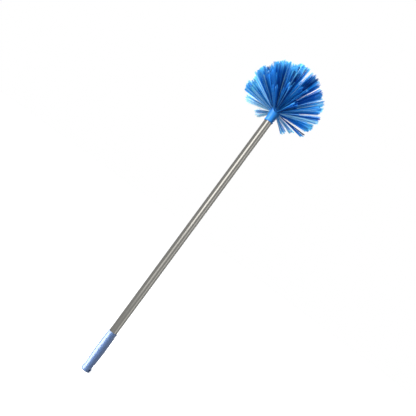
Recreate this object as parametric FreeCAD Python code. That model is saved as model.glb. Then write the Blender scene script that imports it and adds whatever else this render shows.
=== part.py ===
import FreeCAD, Part
import math
import os

# A cobweb brush: a ball of bristle tufts in a hub that screws onto the tip of a steel pole with a grip.
# Millimetres. +Z runs up the pole, and the origin is the centre of the grip's flat end face.
# The hanging hole runs along X.

Vector = FreeCAD.Vector
UP = Vector(0, 0, 1)

# Pole tube
tube_outer_d = 30.0
tube_wall = 0.5
tube_length = 1053.0

# Grip: radii are given as what stands proud of the tube
grip_length = 160.0
grip_end_proud = 1.7
grip_bead_proud = 3.7
grip_bead_height = 15.0
grip_neck_proud = 0.9
grip_neck_height = 21.0
grip_belly_proud = 4.0
grip_belly_height = 95.0
grip_top_proud = 2.4
grip_lip_proud = 2.9
grip_lip_height = 7.0
grip_lip_round = 1.2
grip_core_floor = 20.0
grip_seat_height = 34.0
grip_seat_width = 2.5
grip_fit = 0.1
hang_hole_d = 8.0
hang_hole_height = 9.5

# Threaded pole tip, held by dimples punched in the tube
tip_barrel_length = 34.0
tip_fit = 0.1
tip_shoulder_height = 3.0
tip_core_hole_d = 12.0
tip_crown_height = 3.0
dimple_count = 4
dimple_punch_r = 5.0
dimple_depth = 1.0
dimple_below_rim = 8.0
dimple_fit = 0.15

# Screw thread between tip and hub
thread_core_d = 18.8
thread_depth = 1.6
thread_pitch = 4.5
thread_turns = 4.0
thread_root_width = 2.6
thread_crest_width = 1.2
thread_clearance = 0.3
thread_relief_height = 2.5

# Friction washer on the tip's shoulder
washer_thickness = 1.5
washer_inset = 0.5
washer_gap = 0.1

# Hub
skirt_overlap = 16.0
skirt_clearance = 0.4
skirt_wall = 1.8
skirt_mouth_round = 0.6
hub_neck_height = 20.0
hub_flare_height = 35.0
hub_crown_height = 40.0
hub_crown_d = 41.0
hub_flare_hollow = 0.6

# Tufts, ring by ring from the lowest: how many, the angle above the hub's equator, the first tuft's
# angle round the pole and the half angle of the fans, in degrees
ring_counts = [10, 11, 8, 3]
ring_rise_angles = [3.0, 27.0, 50.0, 74.0]
ring_first_angles = [9.0, 8.0, 32.5, 63.0]
ring_fan_angles = [6.0, 7.0, 8.0, 8.5]
# Tufts that use has bent, by number: how far aside round the pole, how far up and the fan's half angle
bent_tuft_angles = {
    1: (22, 5, 6.8), 2: (8, -5, 3.8), 3: (9, -1, 3.8), 4: (-18, -11, 4.6), 5: (8, -8, 7.0),
    6: (8, -2, 6.4), 7: (2, 6, 7.8), 8: (-4, 3, 6.4), 9: (-4, 13, 4.6), 10: (-1, 8, 4.6),
    11: (8, 3, 5.6), 12: (0, -2, 5.8), 13: (0, 0, 6.0), 17: (0, 0, 8.6), 18: (0, 6, 8.2),
    20: (6, -4, 4.4), 21: (-6, 6, 4.9), 22: (4, -8, 6.0), 23: (0, 0, 6.5), 24: (5, 0, 8.0),
    26: (0, 2, 8.6), 27: (6, 1, 8.4), 29: (20, -4, 6.6), 30: (14, 0, 9.0), 31: (38, -3, 8.2),
    32: (-2, -1, 7.6),
}
tuft_hole_d = 5.0
tuft_hole_depth = 6.0
tuft_fit = 0.1
tuft_bend_rise = 1.2
tuft_bend_swell = 0.05
ball_r = 142.0
ball_rise = 49.0
staple_height = 1.4
staple_thickness = 0.5
staple_bite = 0.6
staple_fit = 0.05

# Places that follow from the sizes
tube_r = tube_outer_d / 2
tube_bore_r = tube_r - tube_wall
tube_top = grip_seat_height + tube_length
hub_mouth = tube_top - skirt_overlap
hub_centre = Vector(0, 0, hub_mouth + hub_crown_height)
hub_crown_r = hub_crown_d / 2
hole_floor_r = hub_crown_r - tuft_hole_depth
ball_centre = hub_centre + UP * ball_rise
shoulder_top = tube_top + tip_shoulder_height
hub_seat = shoulder_top + washer_thickness + 2 * washer_gap
thread_core_r = thread_core_d / 2
thread_r = thread_core_r + thread_depth
thread_length = thread_pitch * thread_turns
thread_bottom = hub_seat
thread_top = thread_bottom + thread_length
socket_top = thread_top + thread_relief_height
dimple_height = tube_top - dimple_below_rim
dimple_centre_r = tube_r + dimple_punch_r - dimple_depth


def save(shape, node):
    """Write one piece of the brush to its own file."""
    shape.exportStep("parts/" + node + ".step")


def cylinder(radius, bottom, top):
    return Part.makeCylinder(radius, top - bottom, Vector(0, 0, bottom))


def on_profile(radius, height):
    """A point of an outline that is turned about the pole's axis."""
    return Vector(radius, 0, height)


def turned(edges):
    """Turn a closed outline of edges once about the pole's axis."""
    outline = Part.Face(Part.Wire(Part.__sortEdges__(edges)))
    return outline.revolve(Vector(0, 0, 0), UP, 360)


def line(start, end):
    return Part.LineSegment(start, end).toShape()


def arc(start, middle, end):
    return Part.Arc(start, middle, end).toShape()


def helix_thread(core_r, crest_r, root_width, crest_width, bottom, top):
    """A right-hand thread ridge of trapezoid section, run on past both ends for trimming."""
    sink = 0.4
    run_on = thread_pitch
    slope = (root_width - crest_width) / (crest_r - core_r)
    foot_half = (root_width + slope * sink) / 2
    crest_half = crest_width / 2
    section = Part.makePolygon([
        Vector(core_r - sink, 0, -foot_half),
        Vector(crest_r, 0, -crest_half),
        Vector(crest_r, 0, crest_half),
        Vector(core_r - sink, 0, foot_half),
        Vector(core_r - sink, 0, -foot_half),
    ])
    path = Part.makeHelix(thread_pitch, top - bottom + 2 * run_on, core_r)
    ridge = Part.Wire(path.Edges).makePipeShell([section], True, True)
    ridge.translate(UP * (bottom - run_on))
    return ridge


def dimple_balls(radius):
    """The punch marks round the tube, as balls of the given radius."""
    balls = []
    for number in range(dimple_count):
        turn = math.radians(360.0 * number / dimple_count)
        centre = Vector(math.cos(turn), math.sin(turn), 0) * dimple_centre_r + UP * dimple_height
        balls.append(Part.makeSphere(radius, centre))
    return balls


# Grip: a turned sleeve with a stop for the tube, and a cross hole through its end bead
def make_grip():
    end_r = tube_r + grip_end_proud
    bead_r = tube_r + grip_bead_proud
    neck_r = tube_r + grip_neck_proud
    belly_r = tube_r + grip_belly_proud
    top_r = tube_r + grip_top_proud
    lip_r = tube_r + grip_lip_proud
    lip_bottom = grip_length - grip_lip_height
    throat_r = (neck_r + end_r) / 2
    throat_height = (grip_bead_height + grip_neck_height) / 2
    bore_r = tube_r + grip_fit
    core_r = tube_bore_r - grip_seat_width

    axis_low = on_profile(0, 0)
    end_rim = on_profile(end_r, 0)
    bead = on_profile(bead_r, grip_bead_height / 2)
    bead_top = on_profile(end_r, grip_bead_height)
    throat = on_profile((throat_r + neck_r) / 2, throat_height)
    neck = on_profile(neck_r, grip_neck_height)
    belly = on_profile(belly_r, grip_belly_height)
    shoulder = on_profile(top_r, lip_bottom)
    lip_low = on_profile(lip_r, lip_bottom + grip_lip_round)
    lip_high = on_profile(lip_r, grip_length - grip_lip_round)
    round_mid = on_profile(lip_r - grip_lip_round * (1 - math.sqrt(0.5)),
                           grip_length - grip_lip_round * (1 - math.sqrt(0.5)))
    lip_top = on_profile(lip_r - grip_lip_round, grip_length)
    bore_top = on_profile(bore_r, grip_length)
    seat_outer = on_profile(bore_r, grip_seat_height)
    seat_inner = on_profile(core_r, grip_seat_height)
    core_low = on_profile(core_r, grip_core_floor)
    axis_high = on_profile(0, grip_core_floor)
    sleeve = turned([
        line(axis_low, end_rim),
        arc(end_rim, bead, bead_top),
        arc(bead_top, throat, neck),
        arc(neck, belly, shoulder),
        line(shoulder, lip_low),
        line(lip_low, lip_high),
        arc(lip_high, round_mid, lip_top),
        line(lip_top, bore_top),
        line(bore_top, seat_outer),
        line(seat_outer, seat_inner),
        line(seat_inner, core_low),
        line(core_low, axis_high),
        line(axis_high, axis_low),
    ])
    hole_start = Vector(-2 * bead_r, 0, hang_hole_height)
    hang_hole = Part.makeCylinder(hang_hole_d / 2, 4 * bead_r, hole_start, Vector(1, 0, 0))
    return sleeve.cut(hang_hole)


# Tube: thin stainless wall, dimpled inwards near its top rim
def make_tube():
    outside = cylinder(tube_r, grip_seat_height, tube_top)
    tube = outside.cut(cylinder(tube_bore_r, grip_seat_height, tube_top))
    for ball in dimple_balls(dimple_punch_r + tube_wall):
        tube = tube.fuse(ball.common(outside))
    for ball in dimple_balls(dimple_punch_r):
        tube = tube.cut(ball)
    return tube


# Pole tip: a barrel in the tube, a shoulder on its rim and a hollow screw
def make_pole_tip():
    barrel = cylinder(tube_bore_r - tip_fit, tube_top - tip_barrel_length, tube_top)
    for ball in dimple_balls(dimple_punch_r + tube_wall + dimple_fit):
        barrel = barrel.cut(ball)
    shoulder = cylinder(tube_r, tube_top, shoulder_top)
    core = cylinder(thread_core_r, shoulder_top, thread_top)
    ridge = helix_thread(thread_core_r, thread_r, thread_root_width, thread_crest_width,
                         thread_bottom, thread_top)
    lead_in = Part.makeCone(thread_r + thread_depth, thread_core_r, 2 * thread_depth,
                            Vector(0, 0, thread_top - 2 * thread_depth))
    threaded_length = cylinder(thread_r + thread_depth, thread_bottom, thread_top - 2 * thread_depth)
    ridge = ridge.common(threaded_length.fuse(lead_in))
    hollow = cylinder(tip_core_hole_d / 2, tube_top - tip_barrel_length, thread_top - tip_crown_height)
    return barrel.fuse(shoulder).fuse(core).fuse(ridge).cut(hollow).removeSplitter()


# Friction washer: a flat rubber ring round the screw
def make_washer():
    bottom = shoulder_top + washer_gap
    ring = cylinder(tube_r - washer_inset, bottom, bottom + washer_thickness)
    return ring.cut(cylinder(thread_r + thread_clearance, bottom, bottom + washer_thickness))


def from_hub(turn_angle, rise_angle):
    """A direction out of the hub, by degrees round the pole and above it, and the one up across it."""
    turn = math.radians(turn_angle)
    rise = math.radians(rise_angle)
    around = Vector(math.cos(turn), math.sin(turn), 0)
    return around * math.cos(rise) + UP * math.sin(rise), UP * math.cos(rise) - around * math.sin(rise)


def tuft_places():
    """Each tuft's directions of hole and fan, and its fan's half angle."""
    places = []
    for count, rise_angle, first_angle, fan_angle in zip(
            ring_counts, ring_rise_angles, ring_first_angles, ring_fan_angles):
        for number in range(count):
            turn_angle = first_angle + 360.0 * number / count
            aside, up, half_angle = bent_tuft_angles.get(len(places) + 1, (0, 0, fan_angle))
            hole = from_hub(turn_angle, rise_angle)
            fan = from_hub(turn_angle + aside, rise_angle + up)
            places.append((hole, fan, math.radians(half_angle)))
    return places


def make_staple(outward, along, fit):
    """A flat wire anchor that lies across the floor of a tuft's hole and bites into its sides."""
    half_length = tuft_hole_d / 2 + staple_bite + fit
    half_thickness = staple_thickness / 2 + fit
    across = outward.cross(along)
    floor = hub_centre + outward * hole_floor_r
    corners = [
        floor + along * half_length + across * half_thickness,
        floor - along * half_length + across * half_thickness,
        floor - along * half_length - across * half_thickness,
        floor + along * half_length - across * half_thickness,
    ]
    outline = Part.Face(Part.makePolygon(corners + corners[:1]))
    return outline.extrude(outward * (staple_height + fit))


# Hub: a turned skirt, flare and dome, with a threaded socket below and tuft holes all over the dome
def make_hub():
    bore_r = tube_r + skirt_clearance
    mouth_r = bore_r + skirt_wall
    neck_top = hub_mouth + hub_neck_height
    flare_top = hub_mouth + hub_flare_height
    socket_r = thread_core_r + thread_clearance
    relief_r = thread_r + 2 * thread_clearance
    equator = hub_centre.z
    diagonal = hub_crown_r * math.sqrt(0.5)
    flare_middle = on_profile((mouth_r + hub_crown_r) / 2 - hub_flare_hollow, (neck_top + flare_top) / 2)
    body = turned([
        line(on_profile(bore_r, hub_mouth), on_profile(mouth_r - skirt_mouth_round, hub_mouth)),
        line(on_profile(mouth_r - skirt_mouth_round, hub_mouth),
             on_profile(mouth_r, hub_mouth + skirt_mouth_round)),
        line(on_profile(mouth_r, hub_mouth + skirt_mouth_round), on_profile(mouth_r, neck_top)),
        arc(on_profile(mouth_r, neck_top), flare_middle, on_profile(hub_crown_r, flare_top)),
        line(on_profile(hub_crown_r, flare_top), on_profile(hub_crown_r, equator)),
        arc(on_profile(hub_crown_r, equator), on_profile(diagonal, equator + diagonal),
            on_profile(0, equator + hub_crown_r)),
        line(on_profile(0, equator + hub_crown_r), on_profile(0, socket_top)),
        line(on_profile(0, socket_top), on_profile(relief_r, socket_top)),
        line(on_profile(relief_r, socket_top), on_profile(relief_r, thread_top)),
        line(on_profile(relief_r, thread_top), on_profile(socket_r, thread_top)),
        line(on_profile(socket_r, thread_top), on_profile(socket_r, hub_seat)),
        line(on_profile(socket_r, hub_seat), on_profile(bore_r, hub_seat)),
        line(on_profile(bore_r, hub_seat), on_profile(bore_r, hub_mouth)),
    ])
    groove = helix_thread(socket_r, thread_r + thread_clearance,
                          thread_root_width + 2 * thread_clearance,
                          thread_crest_width + 2 * thread_clearance, thread_bottom, thread_top)
    groove_bottom = hub_seat - washer_thickness / 2
    groove_top = thread_top + thread_relief_height / 2
    groove = groove.common(cylinder(thread_r + thread_depth, groove_bottom, groove_top))
    body = body.cut(groove)
    holes = []
    for (outward, along), fan, half_angle in tuft_places():
        floor = hub_centre + outward * hole_floor_r
        holes.append(Part.makeCylinder(tuft_hole_d / 2, 2 * tuft_hole_depth, floor, outward))
        holes.append(make_staple(outward, along, staple_fit))
    return body.cut(Part.makeCompound(holes))


# Tufts: a round root in its hole, a bend just above it and a fan out to the trimmed ball
def make_tuft(hole, fan, half_angle):
    outward, along = hole
    fan_outward, fan_along = fan
    root_r = tuft_hole_d / 2 - tuft_fit
    root_floor = hole_floor_r + staple_height + tuft_fit
    bend_r = hub_crown_r + tuft_bend_rise
    bend = hub_centre + outward * bend_r
    fan_length = ball_rise + ball_r
    tip_r = root_r + fan_length * math.tan(half_angle)
    tuft = Part.makeCylinder(root_r, bend_r - root_floor, hub_centre + outward * root_floor, outward)
    if fan_outward != outward:
        tuft = tuft.fuse(Part.makeSphere(root_r + tuft_bend_swell, bend))
    cone = Part.makeCone(root_r, tip_r, fan_length, bend, fan_outward)
    ball = Part.makeSphere(ball_r)
    ball.Placement = FreeCAD.Placement(
        ball_centre, FreeCAD.Rotation(-fan_outward, -fan_along, fan_outward.cross(fan_along)))
    return tuft.fuse(cone.common(ball))


os.makedirs("parts", exist_ok=True)
save(make_grip(), "grip")
save(make_tube(), "tube")
save(make_pole_tip(), "pole_tip")
save(make_washer(), "friction_washer")
save(make_hub(), "hub")
staples = []
for tuft_number, (tuft_hole, tuft_fan, tuft_half_angle) in enumerate(tuft_places(), start=1):
    save(make_tuft(tuft_hole, tuft_fan, tuft_half_angle), "tuft_%02d" % tuft_number)
    staples.append(make_staple(tuft_hole[0], tuft_hole[1], 0))
save(Part.makeCompound(staples), "tuft_staples")
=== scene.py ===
import math
import random

import bmesh
import bpy
from mathutils import Matrix, Vector


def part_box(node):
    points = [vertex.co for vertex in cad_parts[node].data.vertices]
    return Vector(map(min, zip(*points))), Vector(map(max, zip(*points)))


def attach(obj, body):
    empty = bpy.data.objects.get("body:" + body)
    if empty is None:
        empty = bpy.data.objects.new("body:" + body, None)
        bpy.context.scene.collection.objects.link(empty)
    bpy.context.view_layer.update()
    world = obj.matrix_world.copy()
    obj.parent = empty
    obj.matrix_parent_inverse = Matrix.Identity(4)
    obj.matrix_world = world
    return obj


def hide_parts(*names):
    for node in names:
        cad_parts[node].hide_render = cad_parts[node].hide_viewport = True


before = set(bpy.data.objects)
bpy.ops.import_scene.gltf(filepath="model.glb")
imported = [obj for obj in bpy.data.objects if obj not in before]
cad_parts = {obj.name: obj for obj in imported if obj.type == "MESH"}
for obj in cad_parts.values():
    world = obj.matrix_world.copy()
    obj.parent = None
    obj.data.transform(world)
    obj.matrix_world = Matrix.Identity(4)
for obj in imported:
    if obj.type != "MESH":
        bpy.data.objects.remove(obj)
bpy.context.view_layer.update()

# Pole tube: seam-welded stainless steel tube with a thin wall, drawn and polished along its length.
# Its lower end stands in the grip, and its upper end is punched into the plastic tip.
steel_colour = (0.69, 0.665, 0.60, 1.0)
steel_smear_colour = (0.63, 0.605, 0.55, 1.0)
smears_per_m = 9.0
smear_stretch = 0.5
polish_lines_per_m = 900.0
polish_line_stretch = 0.004
polish_line_strength = 0.01
polish_line_depth = 0.0002
steel_roughness = (0.17, 0.24)
# Most of a noise lies between these values
noise_low = 0.3
noise_high = 0.7


def new_material(name):
    """A material with its own shader, ready for more nodes."""
    material = bpy.data.materials.new(name)
    material.use_nodes = True
    return material


def shader_of(material):
    return material.node_tree.nodes["Principled BSDF"]


def add_node(material, kind, **settings):
    """One more node; settings are its own properties."""
    node = material.node_tree.nodes.new(kind)
    for key, value in settings.items():
        setattr(node, key, value)
    return node


def join(material, output, socket):
    material.node_tree.links.new(output, socket)


def object_noise(material, scale, stretch=(1, 1, 1), detail=3.0):
    """Noise on the piece's own coordinates, in metres, drawn out along an axis by its stretch."""
    place = add_node(material, "ShaderNodeTexCoord")
    mapping = add_node(material, "ShaderNodeMapping")
    mapping.inputs["Scale"].default_value = stretch
    noise = add_node(material, "ShaderNodeTexNoise")
    noise.inputs["Scale"].default_value = scale
    noise.inputs["Detail"].default_value = detail
    join(material, place.outputs["Object"], mapping.inputs["Vector"])
    join(material, mapping.outputs["Vector"], noise.inputs["Vector"])
    return noise.outputs["Fac"]


def spread(material, noise, low, high):
    """A noise brought to a range of values."""
    node = add_node(material, "ShaderNodeMapRange")
    node.inputs["From Min"].default_value = noise_low
    node.inputs["From Max"].default_value = noise_high
    node.inputs["To Min"].default_value = low
    node.inputs["To Max"].default_value = high
    join(material, noise, node.inputs["Value"])
    return node.outputs["Result"]


def two_colours(material, factor, first, second):
    """A colour between two, by a factor."""
    mix = add_node(material, "ShaderNodeMix", data_type="RGBA")
    mix.inputs["A"].default_value = first
    mix.inputs["B"].default_value = second
    join(material, factor, mix.inputs["Factor"])
    return mix.outputs["Result"]


def bump(material, height, strength, depth):
    """A fine relief, in metres."""
    node = add_node(material, "ShaderNodeBump")
    node.inputs["Strength"].default_value = strength
    node.inputs["Distance"].default_value = depth
    join(material, height, node.inputs["Height"])
    join(material, node.outputs["Normal"], shader_of(material).inputs["Normal"])


def dress(node_name, material):
    """Give a kept solid its finish."""
    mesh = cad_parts[node_name].data
    mesh.materials.clear()
    mesh.materials.append(material)


steel = new_material("polished_stainless")
smears = object_noise(steel, smears_per_m, (1, 1, smear_stretch))
polish_lines = object_noise(steel, polish_lines_per_m, (1, 1, polish_line_stretch))
steel_tint = two_colours(steel, smears, steel_colour, steel_smear_colour)
join(steel, steel_tint, shader_of(steel).inputs["Base Color"])
join(steel, spread(steel, polish_lines, *steel_roughness), shader_of(steel).inputs["Roughness"])
bump(steel, polish_lines, polish_line_strength, polish_line_depth)
shader_of(steel).inputs["Metallic"].default_value = 1.0
dress("tube", steel)

# Grip: injection-moulded polypropylene sleeve in a pale steel blue, pushed over the tube's lower end.
# The bead at its end is drilled through for hanging.
grip_colour = (0.13, 0.23, 0.475, 1.0)
grip_pale_colour = (0.155, 0.26, 0.51, 1.0)
grip_clouds_per_m = 22.0
grip_roughness = (0.34, 0.4)
grip_grains_per_m = 1500.0
grip_grain_strength = 0.03
grain_detail = 2.0
grain_depth = 0.0002


def mottled_finish(name, colour, other_colour, mottles_per_m, roughness):
    """A finish whose colour and roughness drift a little over the piece."""
    material = new_material(name)
    mottle = object_noise(material, mottles_per_m)
    tint = two_colours(material, mottle, colour, other_colour)
    join(material, tint, shader_of(material).inputs["Base Color"])
    join(material, spread(material, mottle, *roughness), shader_of(material).inputs["Roughness"])
    return material


def mould_grain(material, grains_per_m, strength):
    """The fine grain that the mould's wall leaves on a piece."""
    bump(material, object_noise(material, grains_per_m, detail=grain_detail), strength, grain_depth)


grip_plastic = mottled_finish("pale_blue_polypropylene", grip_colour, grip_pale_colour,
                              grip_clouds_per_m, grip_roughness)
mould_grain(grip_plastic, grip_grains_per_m, grip_grain_strength)
shader_of(grip_plastic).inputs["Coat Weight"].default_value = 1.0
shader_of(grip_plastic).inputs["Coat Roughness"].default_value = 0.27
dress("grip", grip_plastic)

# Pole tip: moulded plastic plug with the screw that the head turns on.
# It is pressed into the tube's upper end and held there by four dimples punched in the tube.
tip_colour = (0.045, 0.048, 0.052, 1.0)
tip_pale_colour = (0.07, 0.073, 0.078, 1.0)
tip_clouds_per_m = 60.0
tip_roughness = (0.35, 0.5)
dress("pole_tip", mottled_finish("black_tip_plastic", tip_colour, tip_pale_colour,
                                 tip_clouds_per_m, tip_roughness))

# Friction washer: flat ring of black rubber that lies on the tip's shoulder, round the screw.
# The hub is screwed down on it, so that the head doesn't work loose.
washer_colour = (0.035, 0.036, 0.04, 1.0)
washer_dust_colour = (0.08, 0.08, 0.085, 1.0)
washer_dust_per_m = 400.0
washer_roughness = (0.6, 0.8)
dress("friction_washer", mottled_finish("washer_rubber", washer_colour, washer_dust_colour,
                                        washer_dust_per_m, washer_roughness))

# Hub: azure polypropylene moulding with a skirt over the tube and a dome drilled for the tufts.
# It turns on the tip's screw and carries the whole head.
hub_colour = (0.024, 0.25, 0.72, 1.0)
hub_deep_colour = (0.02, 0.195, 0.63, 1.0)
hub_clouds_per_m = 45.0
hub_roughness = (0.4, 0.5)
hub_grains_per_m = 1300.0
hub_grain_strength = 0.06
hub_plastic = mottled_finish("azure_polypropylene", hub_colour, hub_deep_colour,
                             hub_clouds_per_m, hub_roughness)
mould_grain(hub_plastic, hub_grains_per_m, hub_grain_strength)
shader_of(hub_plastic).inputs["Specular IOR Level"].default_value = 0.3
dress("hub", hub_plastic)

# Tuft staples: short pieces of flat steel wire, one at the bottom of each hole of the hub.
# A tuft is folded over its staple, and the two are shot into the hole together.
staple_colour = (0.5, 0.48, 0.44, 1.0)
staple_tarnish_colour = (0.36, 0.34, 0.31, 1.0)
staple_tarnish_per_m = 700.0
staple_roughness = (0.3, 0.45)
staple_wire = mottled_finish("staple_wire", staple_colour, staple_tarnish_colour,
                             staple_tarnish_per_m, staple_roughness)
shader_of(staple_wire).inputs["Metallic"].default_value = 1.0
dress("tuft_staples", staple_wire)

# Tufts: bundles of extruded polypropylene filaments, split at their tips, folded in half into each hole.
# They fan out of the hub in separate locks and are trimmed together to a ball. Use has bent some aside.
ring_counts = [10, 11, 8, 3]
ring_rise_angles = [3.0, 27.0, 50.0, 74.0]
ring_first_angles = [9.0, 8.0, 32.5, 63.0]
ring_fan_angles = [6.0, 7.0, 8.0, 8.5]
ball_r = 0.142
ball_rise = 0.049
root_r = 0.0022
root_floor = 0.0162
root_sink = 0.001
root_sides = 12
bend_r = 0.0215
splay = 1.09
filament_r = 0.00046
filament_flatness = 0.55
filament_cuts = 3
filament_tip_taper = 0.75
filament_bows = [0.0, 3.0, 6.0, -4.0, 9.0]
# Tufts bent by use, by number: degrees to the side, degrees up and the half angle of the fan
bent_tufts = {
    1: (22, 5, 6.8), 2: (8, -5, 3.8), 3: (9, -1, 3.8), 4: (-18, -11, 4.6), 5: (8, -8, 7.0),
    6: (8, -2, 6.4), 7: (2, 6, 7.8), 8: (-4, 3, 6.4), 9: (-4, 13, 4.6), 10: (-1, 8, 4.6),
    11: (8, 3, 5.6), 12: (0, -2, 5.8), 13: (0, 0, 6.0), 17: (0, 0, 8.6), 18: (0, 6, 8.2),
    20: (6, -4, 4.4), 21: (-6, 6, 4.9), 22: (4, -8, 6.0), 23: (0, 0, 6.5), 24: (5, 0, 8.0),
    26: (0, 2, 8.6), 27: (6, 1, 8.4), 29: (20, -4, 6.6), 30: (14, 0, 9.0), 31: (38, -3, 8.2),
    32: (-2, -1, 7.6),
}
# Tufts trimmed long, by their share of the way to the ball
long_tufts = {30: 1.06}
# Filaments in a tuft worn thin, or packed more tightly, as a share of the usual number
tuft_fullness = {1: 1.5, 2: 1.5, 4: 1.4, 5: 0.4, 6: 0.3, 7: 1.3, 8: 1.4, 12: 1.8, 19: 1.3}

# Locks: bunches of filaments that cling together. Ranges are shares of the fan, the reach or the width.
locks_per_square_degree = 0.42
lock_r = 0.12
lock_crowding = 0.4
lock_wander = 0.35
lock_reaches = (0.985, 1.025)
filaments_per_lock = 26
filament_widths = (0.7, 1.35)
filament_twist = 0.3
tip_unevenness = 0.03
golden_turn = math.radians(137.5)
full_turn = (0, 2 * math.pi)

# Strays: filaments that stand out round every tuft
strays_per_tuft = 6
stray_rings = (1.0, 1.4)
stray_reaches = (0.8, 0.98)
stray_widths = (1.0, 1.6)
stray_paling = 0.35

# Short bristles that have slipped aside into the gaps, darkened there as painted shade: the direction round
# the tuft, and how many
slipped_bristles = {27: [(180, 50)], 30: [(0, 50), (180, 50)], 32: [(0, 50)]}
slip_spread = math.radians(55)
slip_rings = (0.95, 1.45)
slip_reaches = (0.5, 0.86)
slip_widths = (0.9, 1.5)
# Slipped bristles are darker by up to this share of the shade: painted shade in the gaps
slip_painted_shade = -0.3

# Shades of the tufts that differ from the rest, from 0 for deep blue to 1 for pale: partly each tuft's own
# tone, partly painted light on tufts in the light and painted shade on tufts deep in the ball
tuft_tones_with_painted_light = {
    1: 0.77, 2: 0.44, 3: 0.99, 4: 0.86, 5: 0.99, 6: 0.99, 7: 0.90, 8: 0.76, 9: 0.62, 10: 0.56,
    11: 0.58, 12: 0.76, 13: 0.60, 14: 0.46, 15: 0.44, 16: 0.44, 17: 0.44, 18: 0.74, 19: 0.66, 20: 0.54,
    21: 0.52, 22: 0.74, 24: 0.32, 25: 0.34, 26: 0.42, 27: 0.52, 28: 0.46, 29: 0.42, 30: 0.44, 31: 0.90,
    32: 0.72,
}
plain_shade = 0.48
palest_shade = 0.99
deepest_shade = 0.01
lock_shade_spread = 0.24
filament_shade_spread = 0.06
# Half of the width that a filament takes up on the map, where the shade runs across
shade_half_width = 0.004
# Powers of the height up a filament: above 1 the painted shade of the root reaches further out, below 1
# less far
painted_root_shade_powers = {
    7: 1.4, 12: 0.6, 20: 1.3, 24: 1.7, 25: 1.7, 26: 1.5, 27: 1.7, 28: 1.4, 30: 1.4, 31: 1.7, 32: 1.7,
}
# How far a tuft's colour runs towards the painted light on the tip: below 1 on tufts whose tips get less of
# it
painted_tip_light_shares = {7: 0.9, 9: 0.86, 10: 0.84, 11: 0.88, 12: 0.78, 19: 0.84, 20: 0.88, 21: 0.84, 29: 0.92}
# The blues of the shades, by place from deep to pale; the palest end is painted light, as on thin tufts
# that light comes through
blue_stops = [
    (0.0, (0.001, 0.012, 0.10, 1)), (0.35, (0.004, 0.095, 0.49, 1)), (0.65, (0.014, 0.245, 0.79, 1)),
    (0.85, (0.06, 0.42, 0.98, 1)), (1.0, (0.42, 0.80, 1.0, 1)),
]
# Strength of the painted light on the tip and of the painted shade at the root, by height up the filament
painted_tip_light_stops = [(0.78, (0, 0, 0, 1)), (1.0, (0.8, 0.8, 0.8, 1))]
painted_root_shade_stops = [(0.0, (0.95, 0.95, 0.95, 1)), (0.4, (0.74, 0.74, 0.74, 1)), (0.85, (0, 0, 0, 1))]
# Colours of the painted light on the tips and of the painted shade at the roots, and the number less a
# tuft's shade that gives the root shade's strength
painted_tip_light_colour = (0.18, 0.70, 0.88, 1)
painted_root_shade_colour = (0.002, 0.014, 0.14, 1)
painted_root_shade_base = 1.2


def ramp(material, factor, stops):
    """Colours by places from 0 to 1, and between them."""
    node = add_node(material, "ShaderNodeValToRGB")
    elements = node.color_ramp.elements
    for element, (place, colour) in zip(elements, (stops[0], stops[-1])):
        element.position = place
        element.color = colour
    for place, colour in stops[1:-1]:
        elements.new(place).color = colour
    join(material, factor, node.inputs["Fac"])
    return node.outputs["Color"]


def product(material, first, second):
    """Two factors multiplied, and kept from 0 to 1."""
    node = add_node(material, "ShaderNodeMath", operation="MULTIPLY", use_clamp=True)
    join(material, first, node.inputs[0])
    join(material, second, node.inputs[1])
    return node.outputs["Value"]


def laid_over(material, factor, under, colour):
    """A colour laid over another by a factor."""
    mix = add_node(material, "ShaderNodeMix", data_type="RGBA")
    mix.inputs["B"].default_value = colour
    join(material, factor, mix.inputs["Factor"])
    join(material, under, mix.inputs["A"])
    return mix.outputs["Result"]


bristle = new_material("azure_bristle")
bristle_map = add_node(bristle, "ShaderNodeUVMap", uv_map="OFBake")
bristle_axes = add_node(bristle, "ShaderNodeSeparateXYZ")
join(bristle, bristle_map.outputs["UV"], bristle_axes.inputs["Vector"])
bristle_shade = bristle_axes.outputs["X"]
bristle_height = bristle_axes.outputs["Y"]
# Painted light whitens the tips of the paler filaments, and painted shade darkens the roots of the deeper
# ones
painted_tip_light = product(bristle, ramp(bristle, bristle_height, painted_tip_light_stops), bristle_shade)
painted_root_shade_share = add_node(bristle, "ShaderNodeMath", operation="SUBTRACT")
painted_root_shade_share.inputs[0].default_value = painted_root_shade_base
join(bristle, bristle_shade, painted_root_shade_share.inputs[1])
painted_root_shade = product(bristle, ramp(bristle, bristle_height, painted_root_shade_stops), painted_root_shade_share.outputs["Value"])
plain_blue = ramp(bristle, bristle_shade, blue_stops)
tip_lit_blue = laid_over(bristle, painted_tip_light, plain_blue, painted_tip_light_colour)
root_shaded_blue = laid_over(bristle, painted_root_shade, tip_lit_blue, painted_root_shade_colour)
join(bristle, root_shaded_blue, shader_of(bristle).inputs["Base Color"])
shader_of(bristle).inputs["Roughness"].default_value = 0.4
shader_of(bristle).inputs["Specular IOR Level"].default_value = 0.015

hub_low, hub_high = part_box("hub")
crown_r = (hub_high.x - hub_low.x) / 2
hub_centre = Vector((0, 0, hub_high.z - crown_r))
ball_centre = hub_centre + Vector((0, 0, ball_rise))


def filament_template(number, bow):
    """One filament, a unit long up Z and a unit in radius, bowed sideways by some radii."""
    bm = bmesh.new()
    bmesh.ops.create_cone(bm, cap_ends=True, segments=3, radius1=1.0, radius2=filament_tip_taper, depth=1.0,
                          matrix=Matrix.Translation((0, 0, 0.5)))
    long_edges = [e for e in bm.edges if abs(e.verts[0].co.z - e.verts[1].co.z) > 0.5]
    bmesh.ops.subdivide_edges(bm, edges=long_edges, cuts=filament_cuts, use_grid_fill=True)
    for vert in bm.verts:
        vert.co.x += bow * vert.co.z * vert.co.z
    bmesh.ops.recalc_face_normals(bm, faces=bm.faces)
    mesh = bpy.data.meshes.new("filament_%d" % number)
    bm.to_mesh(mesh)
    bm.free()
    return mesh


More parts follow.
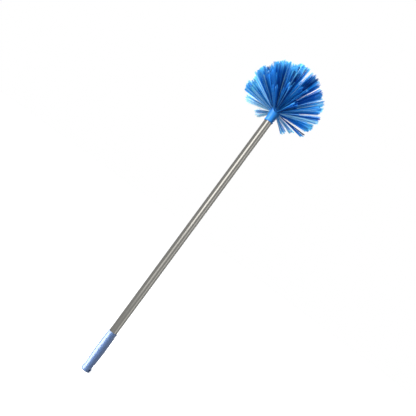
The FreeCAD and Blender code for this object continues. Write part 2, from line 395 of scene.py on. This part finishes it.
def from_hub(turn_angle, rise_angle):
    """A direction out of the hub, by degrees round the pole and above the hub's equator."""
    turn = math.radians(turn_angle)
    rise = math.radians(rise_angle)
    return Vector((math.cos(turn) * math.cos(rise), math.sin(turn) * math.cos(rise), math.sin(rise)))


def reach_of(start, direction):
    """How far it is from a point to the ball that the tips are trimmed to."""
    away = start - ball_centre
    along = away.dot(direction)
    return -along + math.sqrt(along * along - away.length_squared + ball_r * ball_r)


def within(value, low, high):
    return min(high, max(low, value))


def add_filament(bm, template, start, end, width, turn):
    """Copy a filament template into the tuft, from start to end, and return its faces."""
    first_face = len(bm.faces)
    axis = end - start
    stand = axis.to_track_quat("Z", "Y").to_matrix().to_4x4() @ Matrix.Rotation(turn, 4, "Z")
    size = Matrix.Diagonal((width, width * filament_flatness, axis.length, 1))
    placed = template.copy()
    placed.transform(Matrix.Translation(start) @ stand @ size)
    bm.from_mesh(placed)
    bpy.data.meshes.remove(placed)
    bm.faces.ensure_lookup_table()
    return bm.faces[first_face:]


def map_filament(faces, uv_layer, start, end, shade, root_shade_power, tip_light_share):
    """Write a filament's shade across the map, and its height up the filament along the map, raised to its
    painted root shade power and cut to its share of painted tip light.
    """
    axis = end - start
    for face in faces:
        for loop in face.loops:
            away = loop.vert.co - start
            height = within(away.dot(axis) / axis.length_squared, 0.0, 1.0)
            edge = math.copysign(shade_half_width, away.cross(axis).x)
            loop[uv_layer].uv = (shade + edge, tip_light_share * height ** root_shade_power)


def make_tuft(number, outward, bent, fan_angle):
    """A folded root in its hole, and a fan of locks of filaments from there to the ball."""
    rng = random.Random(number)
    tuft_reach = long_tufts.get(number, 1.0)
    tuft_shade = tuft_tones_with_painted_light.get(number, plain_shade)
    root_shade_power = painted_root_shade_powers.get(number, 1.0)
    tip_light_share = painted_tip_light_shares.get(number, 1.0)
    side = Vector((0, 0, 1)).cross(bent).normalized()
    along = bent.cross(side)
    spread_r = math.tan(math.radians(fan_angle * splay))
    fan_start = hub_centre + outward * bend_r
    bm = bmesh.new()
    uv_layer = bm.loops.layers.uv.new("OFBake")

    def filament(a, b, reach, template, width, turn, shade):
        offset = side * a + along * b
        start = fan_start + offset * root_r - outward * root_sink
        direction = (bent + offset * spread_r).normalized()
        end = start + direction * (reach_of(start, direction) * reach)
        faces = add_filament(bm, template, start, end, filament_r * width, turn)
        map_filament(faces, uv_layer, start, end, within(shade, deepest_shade, palest_shade), root_shade_power,
                     tip_light_share)

    def lock(a, b):
        reach = tuft_reach * rng.uniform(*lock_reaches)
        shade = tuft_shade + rng.gauss(0, lock_shade_spread)
        template = rng.choice(templates)
        turn = rng.uniform(*full_turn)
        for _ in range(round(filaments_per_lock * tuft_fullness.get(number, 1.0))):
            own_reach = reach - abs(rng.gauss(0, tip_unevenness))
            own_a = a + rng.uniform(-lock_r, lock_r)
            own_b = b + rng.uniform(-lock_r, lock_r)
            filament(own_a, own_b, own_reach, template, rng.uniform(*filament_widths),
                     turn + rng.gauss(0, filament_twist), shade + rng.gauss(0, filament_shade_spread))

    def loose_filaments(count, turns, rings, reaches, widths, paling):
        for _ in range(count):
            turn = rng.uniform(*turns)
            ring = rng.uniform(*rings)
            filament(ring * math.cos(turn), ring * math.sin(turn), rng.uniform(*reaches),
                     rng.choice(templates), rng.uniform(*widths), rng.uniform(*full_turn),
                     tuft_shade + rng.uniform(0, paling))

    lock_count = round(locks_per_square_degree * fan_angle * fan_angle)
    for place in range(lock_count):
        ring = ((place + 0.5) / lock_count) ** lock_crowding * (1 - lock_r)
        turn = place * golden_turn + rng.uniform(-lock_wander, lock_wander)
        lock(ring * math.cos(turn), ring * math.sin(turn))
    loose_filaments(strays_per_tuft, full_turn, stray_rings, stray_reaches, stray_widths, stray_paling)
    for slip_angle, slip_count in slipped_bristles.get(number, []):
        slip_turn = math.radians(slip_angle)
        loose_filaments(slip_count, (slip_turn - slip_spread, slip_turn + slip_spread), slip_rings,
                        slip_reaches, slip_widths, slip_painted_shade)
    # The root's faces keep the map's corner, so the root takes the deepest blue under full painted root
    # shade
    root_stand = outward.to_track_quat("Z", "Y").to_matrix().to_4x4()
    root_middle = Matrix.Translation(hub_centre + outward * ((root_floor + bend_r) / 2))
    bmesh.ops.create_cone(bm, cap_ends=True, segments=root_sides, radius1=root_r, radius2=root_r,
                          depth=bend_r - root_floor, matrix=root_middle @ root_stand)
    name = "bristle_tuft_%02d" % number
    mesh = bpy.data.meshes.new(name)
    bm.to_mesh(mesh)
    bm.free()
    mesh.materials.append(bristle)
    tuft = bpy.data.objects.new(name, mesh)
    bpy.context.scene.collection.objects.link(tuft)
    return tuft


templates = [filament_template(number, bow) for number, bow in enumerate(filament_bows)]
tufts = []
for count, rise_angle, first_angle, fan_angle in zip(
        ring_counts, ring_rise_angles, ring_first_angles, ring_fan_angles):
    for place in range(count):
        tuft_number = len(tufts) + 1
        bent_side, bent_up, own_fan_angle = bent_tufts.get(tuft_number, (0, 0, fan_angle))
        turn_angle = first_angle + 360.0 * place / count
        tuft = make_tuft(tuft_number, from_hub(turn_angle, rise_angle),
                         from_hub(turn_angle + bent_side, rise_angle + bent_up), own_fan_angle)
        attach(tuft, "head")
        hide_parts("tuft_%02d" % tuft_number)
        tufts.append(tuft)
for template in templates:
    bpy.data.meshes.remove(template)

# Floor: a plain white sweep under the grip, bright enough to merge with the white backdrop.
# It is seen by the camera alone, so it throws no light back on the brush.
floor_half = 40.0
floor_drop = 0.0005
floor_colour = (0.8, 0.8, 0.8, 1)
floor_glow = 0.8
floor_bm = bmesh.new()
bmesh.ops.create_grid(floor_bm, x_segments=1, y_segments=1, size=floor_half,
                      matrix=Matrix.Translation((0, 0, -floor_drop)))
floor_mesh = bpy.data.meshes.new("floor")
floor_bm.to_mesh(floor_mesh)
floor_bm.free()
floor = bpy.data.objects.new("floor", floor_mesh)
bpy.context.scene.collection.objects.link(floor)
floor_white = new_material("floor_white")
shader_of(floor_white).inputs["Base Color"].default_value = floor_colour
shader_of(floor_white).inputs["Roughness"].default_value = 0.9
shader_of(floor_white).inputs["Emission Color"].default_value = (1, 1, 1, 1)
shader_of(floor_white).inputs["Emission Strength"].default_value = floor_glow
floor_mesh.materials.append(floor_white)
floor.visible_diffuse = False
floor.visible_glossy = False

# Studio: a white backdrop all round with a soft fill, and soft boxes for the head, the grip and the tube.
# Each box lights its own pieces alone, and those behind the brush are for the views from there.
fill_colour = (0.95, 0.97, 1.0, 1)
fill_strength = 0.32
backdrop_colour = (1, 1, 1, 1)
backdrop_strength = 1.0
viewer_angle = math.radians(-45)
backdrop = bpy.data.worlds.new("studio")
backdrop.use_nodes = True
backdrop_nodes = backdrop.node_tree.nodes
backdrop_links = backdrop.node_tree.links
fill_light = backdrop_nodes["Background"]
fill_light.inputs["Color"].default_value = fill_colour
fill_light.inputs["Strength"].default_value = fill_strength
white_light = backdrop_nodes.new("ShaderNodeBackground")
white_light.inputs["Color"].default_value = backdrop_colour
white_light.inputs["Strength"].default_value = backdrop_strength
ray_kind = backdrop_nodes.new("ShaderNodeLightPath")
backdrop_mix = backdrop_nodes.new("ShaderNodeMixShader")
backdrop_links.new(ray_kind.outputs["Is Camera Ray"], backdrop_mix.inputs["Fac"])
backdrop_links.new(fill_light.outputs["Background"], backdrop_mix.inputs[1])
backdrop_links.new(white_light.outputs["Background"], backdrop_mix.inputs[2])
backdrop_links.new(backdrop_mix.outputs["Shader"], backdrop_nodes["World Output"].inputs["Surface"])
bpy.context.scene.world = backdrop
bpy.context.scene.view_settings.view_transform = "Standard"


def round_pole(angle, distance, height):
    """A place beside the pole, by degrees to the right of the viewer, distance from it and height."""
    turn = viewer_angle + math.radians(angle)
    return Vector((math.cos(turn) * distance, math.sin(turn) * distance, height))


def soft_box(name, place, aim_height, size, watts, lit_pieces):
    """A lamp, out of sight, at a place as round_pole takes it; its size is across and up."""
    lamp = bpy.data.lights.new(name, "AREA")
    lamp.shape = "RECTANGLE"
    lamp.size = size[0]
    lamp.size_y = size[1]
    lamp.energy = watts
    holder = bpy.data.objects.new(name, lamp)
    bpy.context.scene.collection.objects.link(holder)
    holder.location = round_pole(*place)
    holder.rotation_mode = "QUATERNION"
    aim = Vector((0, 0, aim_height)) - round_pole(*place)
    holder.rotation_quaternion = aim.to_track_quat("-Z", "Y")
    holder.visible_camera = False
    lit = bpy.data.collections.new(name + "_lights")
    for piece in lit_pieces:
        lit.objects.link(piece)
    holder.light_linking.receiver_collection = lit


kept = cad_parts
grip_only = [kept["grip"]]
tube_only = [kept["tube"]]
head_pieces = [kept[name] for name in ("pole_tip", "friction_washer", "hub", "tuft_staples")] + tufts
soft_box("key", (-54, 2.3, 1.5), 1.1, (0.8, 1.8), 125, head_pieces + [floor])
soft_box("head_top", (62, 2.0, 2.3), 1.15, (1.0, 1.0), 55, tufts)
soft_box("head_fill", (40, 2.4, 1.2), 1.15, (1.0, 1.0), 36, tufts)
soft_box("grip_box", (-66, 1.2, -0.15), -0.15, (1.3, 1.5), 57, grip_only)
soft_box("grip_fill", (80, 1.2, 0.1), 0.1, (0.8, 1.2), 2.2, grip_only)
soft_box("left_strip", (-22, 2.6, 1.68), 1.26, (1.8, 2.3), 16.6, tube_only)
soft_box("low_left_strip", (-22, 2.6, 0.17), 0.4, (1.8, 0.6), 1.5, tube_only)
soft_box("right_strip", (60, 2.4, 0.6), 0.6, (0.75, 3.4), 4.3, tube_only)
soft_box("back_strip", (176, 2.4, 0.7), 0.7, (1.0, 2.6), 22, tube_only)
soft_box("back_key", (165, 2.3, 1.7), 1.15, (1.4, 1.8), 95, head_pieces)
soft_box("back_grip_box", (-148, 1.2, -0.1), 0.0, (0.9, 1.2), 9, grip_only)
soft_box("back_grip_fill", (175, 1.2, -0.1), 0.0, (0.9, 1.2), 20, grip_only)

# Camera: a little below the middle of the pole and looking up it, rolled so that the pole leans to
# the upper right of the picture.
view_distance = 1.8
view_tilt = math.radians(2.5)
view_height = 0.6994
view_aside = 0.0096
pole_lean = math.radians(36.4)
frame_width = 1.4575
sensor_width = 36.0
pole_axis = Vector((0, 0, 1))
front = round_pole(0, 1, 0)
right = pole_axis.cross(front)
look_at = pole_axis * view_height + right * view_aside
toward_viewer = front * math.cos(view_tilt) - pole_axis * math.sin(view_tilt)
pole_up = pole_axis * math.cos(view_tilt) + front * math.sin(view_tilt)
image_right = right * math.cos(pole_lean) + pole_up * math.sin(pole_lean)
image_up = pole_up * math.cos(pole_lean) - right * math.sin(pole_lean)
lens = bpy.data.cameras.new("camera")
lens.sensor_width = sensor_width
lens.lens = sensor_width * view_distance / frame_width
camera = bpy.data.objects.new("camera", lens)
bpy.context.scene.collection.objects.link(camera)
camera.matrix_world = Matrix((image_right, image_up, toward_viewer)).transposed().to_4x4()
camera.location = look_at + toward_viewer * view_distance
bpy.context.scene.camera = camera
